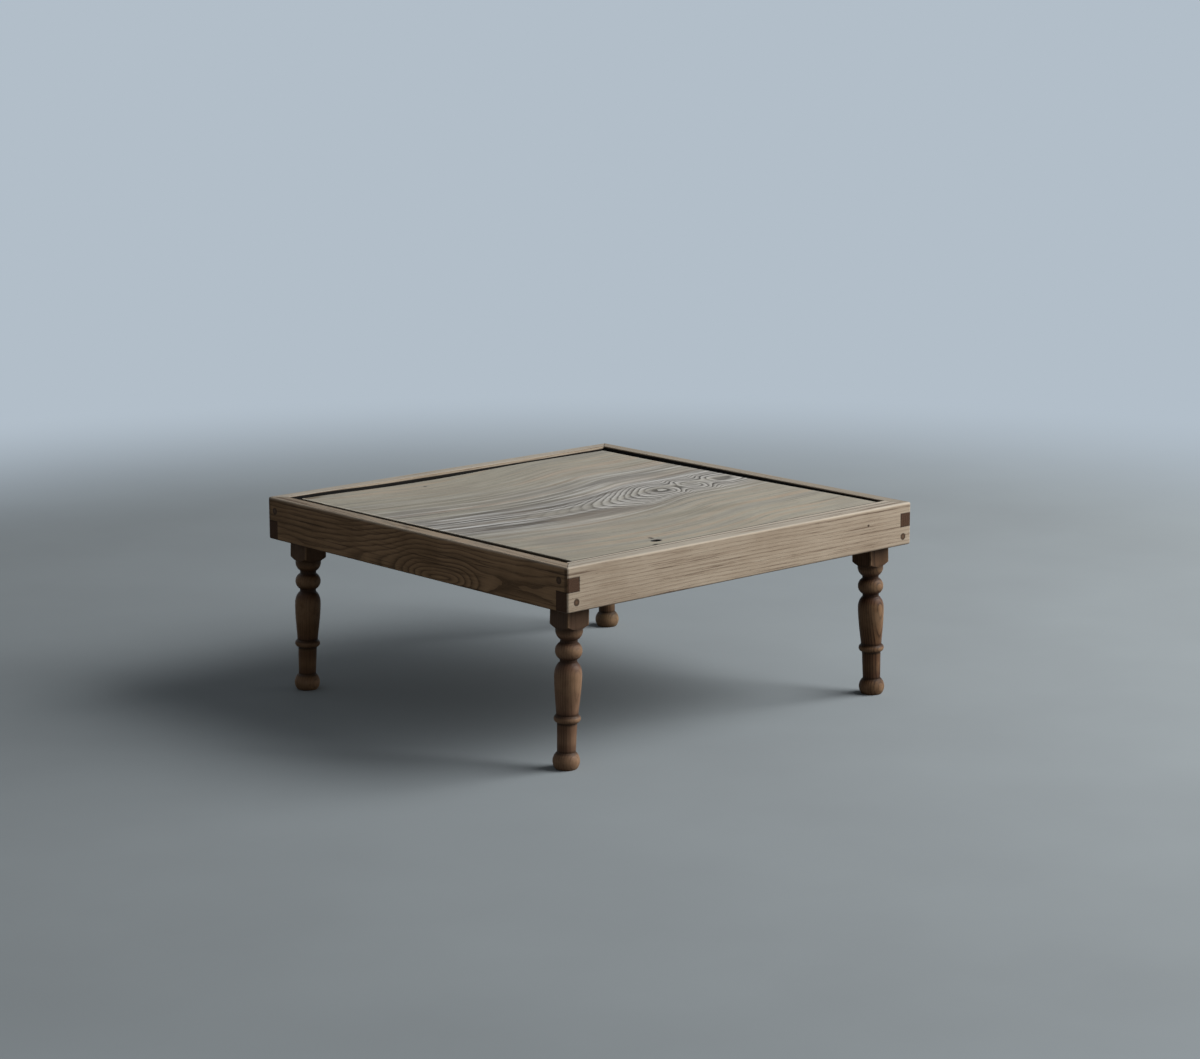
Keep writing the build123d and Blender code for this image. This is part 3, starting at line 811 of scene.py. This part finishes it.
def leg_finish(name, side, leg_y, tones, figure, stain, seed):
    """Turned legs: an old brown stain, worn thin on the swells and dark in the grooves.

    side is -1 for a left leg and 1 for a right one.
    """
    made = Finish(name)
    x, y, z = made.split(made.place)
    axis = made.maths("MULTIPLY_ADD", z, -side * leg_lean, side * foot_x)
    off_x = made.minus(x, axis)
    off_y = made.minus(y, leg_y)
    grain = (z, off_x, off_y)
    habit = {"heart": 0.004, "depth": -0.055, "ring": 0.0036, "pores": 0.35}
    wood, rings, relief = timber(made, grain, tones=tones, figure=figure, seed=seed, **habit)
    grooves, necks, swells = (
        made.curve(z, leg_span, (0.0, 1.0), line) for line in (leg_grooves, leg_necks, leg_swells)
    )
    blotch = made.noise(made.place, 30.0, 4.0, 0.6)
    wood = made.blend(made.rise(blotch, 0.4, 0.7, 0.45), wood, tones[1])
    # Late wood draws thin dark lines, closed ones where the baluster swells.
    wood = made.blend(made.fall(rings, 0.0, 0.24, figure), wood, tone(44, 27, 18))
    rub = made.fade(made.noise(made.place, 70.0, 4.0, 0.6), 0.30, 0.60, 0.3, 1.0)
    wood = made.blend(made.times(swells, rub, 0.5), wood, worn_leg)
    # The blocks are darker than the turned shafts, and are worn pale
    # along their upright edges.
    block = made.rise(z, *levels(block_level, block_blur), stain)
    wood = made.blend(block, wood, tone(58, 42, 30))
    corner = made.rise(made.smaller(made.size(off_x), made.size(off_y)), *block_arris)
    wood = made.blend(made.times(corner, rub, 0.7), wood, worn_leg)
    wood = made.blend(made.times(necks, 0.6), wood, tone(66, 38, 26))
    wood = made.blend(made.times(grooves, 0.75), wood, tone(36, 24, 16))
    rough = made.fade(blotch, 0.3, 0.7, 0.45, 0.65)
    return made.finish(wood, rough, relief, 0.0003, 0.4, 0.12)


# What lies under the board, the pegs and the iron

peg_heart = (0.0008, 0.0034)


def inner_finish(name, along_name, seed):
    """Sawn, unfinished wood under the board."""
    made = Finish(name)
    axes = dict(zip("xyz", made.split(made.place)))
    grain = (axes.pop(along_name), *axes.values())
    tones = (tone(132, 106, 78), tone(98, 76, 54), tone(52, 38, 28))
    habit = {"heart": 0.4, "depth": 0.35, "ring": 0.003, "wander": 0.01}
    wood, _, relief = timber(made, grain, tones=tones, seed=seed, **habit)
    saw_marks = made.noise(made.drawn_out(grain, saw_rates), detail=1.0)
    relief = made.maths("MULTIPLY_ADD", saw_marks, 0.3, relief)
    # The upper faces are painted black: what has fallen through the gaps, and painted shade.
    _, _, facing_z = made.split(made.facing)
    wood = made.blend(made.rise(facing_z, 0.5, 0.8, 0.9), wood, tone(28, 21, 16))
    return made.finish(wood, 0.85, relief, 0.0005, 0.6)


def peg_finish():
    """Dark end grain of the pegs, paler at the heart of each."""
    made = Finish("peg_wood_end_grain")
    x, y, z = made.split(made.place)
    facing_x, _, _ = made.split(made.facing)
    speck = made.noise(made.place, 1000.0, 3.0)
    wood = made.blend(speck, tone(52, 37, 27), tone(92, 70, 52))
    from_side = made.size(facing_x)
    along = made.blend(made.rise(from_side, 0.4, 0.6), x, y)
    level = made.fade(from_side, 0.4, 0.6, lower_peg_level, upper_peg_level)
    heart = made.fall(off_peg(made, along, z, level), *peg_heart, 0.4)
    wood = made.blend(heart, wood, tone(120, 94, 72))
    return made.finish(wood, 0.6, speck, 0.0003, 0.5)


def iron_finish():
    """Dull black iron with brown rust."""
    made = Finish("nail_iron_rusted")
    rust = made.noise(made.place, 700.0, 4.0, 0.65)
    iron = made.blend(made.rise(rust, 0.45, 0.6), tone(58, 52, 48), tone(104, 62, 38))
    made.shader.inputs["Metallic"].default_value = 0.6
    return made.finish(iron, made.fade(rust, 0.4, 0.65, 0.5, 0.85), rust, 0.0003, 0.6, 0.5)


def wear(piece, material):
    """Give a piece its finished material."""
    piece.data.materials.clear()
    piece.data.materials.append(material)


for place, habit in rail_habits.items():
    wear(nodes[f"{place}_rail"], rail_finish(f"rail_wood_{place}", **habit))
wear(nodes["front_strip"], strip_finish())
wear(warped_board(), board_finish())
for seed, (place, (tones, figure, stain)) in enumerate(leg_wear.items()):
    low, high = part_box(f"{place}_leg")
    side = 1 if place.endswith("right") else -1
    leg_y = (low.y + high.y) / 2
    leg_wood = leg_finish(f"leg_wood_{place}", side, leg_y, tones, figure, stain, seed)
    wear(nodes[f"{place}_leg"], leg_wood)
inner_x = inner_finish("inner_wood_along_x", "x", 1.0)
inner_y = inner_finish("inner_wood_along_y", "y", 2.0)
shared_finishes = (
    (inner_x, ("front_ledger", "back_ledger", "left_stay", "right_stay")),
    (inner_x, ("left_stay_cheeks", "right_stay_cheeks")),
    (inner_y, ("left_ledger", "right_ledger", "centre_bearer")),
    (inner_y, ("left_crossbar", "right_crossbar")),
    (peg_finish(), ("corner_pegs", "leg_pivots", "left_crossbar_pegs", "right_crossbar_pegs")),
    (iron_finish(), ("ledger_nails", "board_nails", "left_stay_pin", "right_stay_pin")),
)
for material, names in shared_finishes:
    for name in names:
        wear(nodes[name], material)


# Floor, lights and camera

backdrop_tone = tone(178, 190, 201)
sky_tone = (0.95, 0.97, 1.0, 1.0)
sky_strength = 0.165
floor_size = 24.0
floor_fades_from, floor_fades_to = 1.5, 2.9
lens_length = 95.1
sensor_width = 36.0
camera_place = (-3.174, -3.571, 1.241)
camera_turn, camera_tilt, camera_roll = 0.7305, 0.2034, -0.0025
lamp_aim = Vector((0, 0, 0.15))
# Place, size and power of each lamp.
lamps = {
    "window": ((3.1, -2.6, 2.9), 3.8, 410.0),
    "bounce": ((-2.0, 3.4, 3.0), 3.0, 3.0),
}


def floor_plane():
    """The plain pale floor, which fades into the backdrop far off."""
    bpy.ops.object.select_all(action="DESELECT")
    bpy.ops.mesh.primitive_plane_add(size=floor_size, location=(0, 0, 0))
    plane = bpy.context.object
    plane.name = "studio_floor"
    made = Finish("studio_floor_pale")
    grain = made.noise(made.place, 3.0, 4.0)
    paint = made.blend(grain, tone(130, 136, 139), tone(140, 147, 150))
    # The camera sees the paint, while light that comes off the floor takes a darker grey.
    seen = made.seen_ray()
    paint = made.blend(seen, grey(0.12), paint)
    floor = made.finish(paint, 0.9, grain, 0.0002, 0.3)
    x, y, _ = made.split(made.place)
    away = made.rise(made.distance(x, y), floor_fades_from, floor_fades_to)
    glow = made.put("Emission", {"Color": backdrop_tone}).outputs[0]
    share = made.times(away, seen)
    mix = made.put("MixShader", {0: share, 1: made.shader.outputs[0], 2: glow})
    made.feed(made.tree.nodes["Material Output"].inputs[0], mix.outputs[0])
    plane.data.materials.append(floor)


def lamp(name, place, size, power):
    """A soft square lamp that looks at the middle of the table."""
    light = bpy.data.lights.new(name, "AREA")
    light.shape = "SQUARE"
    light.size = size
    light.energy = power
    holder = bpy.data.objects.new(name, light)
    holder.location = place
    holder.rotation_euler = (lamp_aim - Vector(place)).to_track_quat("-Z", "Y").to_euler()
    bpy.context.scene.collection.objects.link(holder)


def camera():
    lens = bpy.data.cameras.new("view")
    lens.sensor_width = sensor_width
    lens.sensor_fit = "HORIZONTAL"
    lens.lens = lens_length
    holder = bpy.data.objects.new("view", lens)
    holder.location = camera_place
    level = math.cos(camera_tilt)
    view = (math.sin(camera_turn) * level, math.cos(camera_turn) * level, -math.sin(camera_tilt))
    holder.rotation_euler = Vector(view).to_track_quat("-Z", "Y").to_euler()
    holder.rotation_euler.rotate_axis("Z", camera_roll)
    bpy.context.scene.collection.objects.link(holder)
    bpy.context.scene.camera = holder


def sky():
    """A pale backdrop for the camera, and a dimmer light for everything else."""
    world = bpy.data.worlds.new("studio")
    bpy.context.scene.world = world
    world.use_nodes = True
    made = Nodes(world.node_tree)
    light = made.tree.nodes["Background"]
    light.inputs["Color"].default_value = sky_tone
    light.inputs["Strength"].default_value = sky_strength
    seen = made.put("Background", {"Color": backdrop_tone, "Strength": 1.0})
    share = made.put("MixShader", {0: made.seen_ray(), 1: light.outputs[0], 2: seen.outputs[0]})
    made.feed(made.tree.nodes["World Output"].inputs[0], share.outputs[0])


floor_plane()
for name, habit in lamps.items():
    lamp(name, *habit)
camera()
sky()
bpy.context.scene.view_settings.view_transform = "Standard"
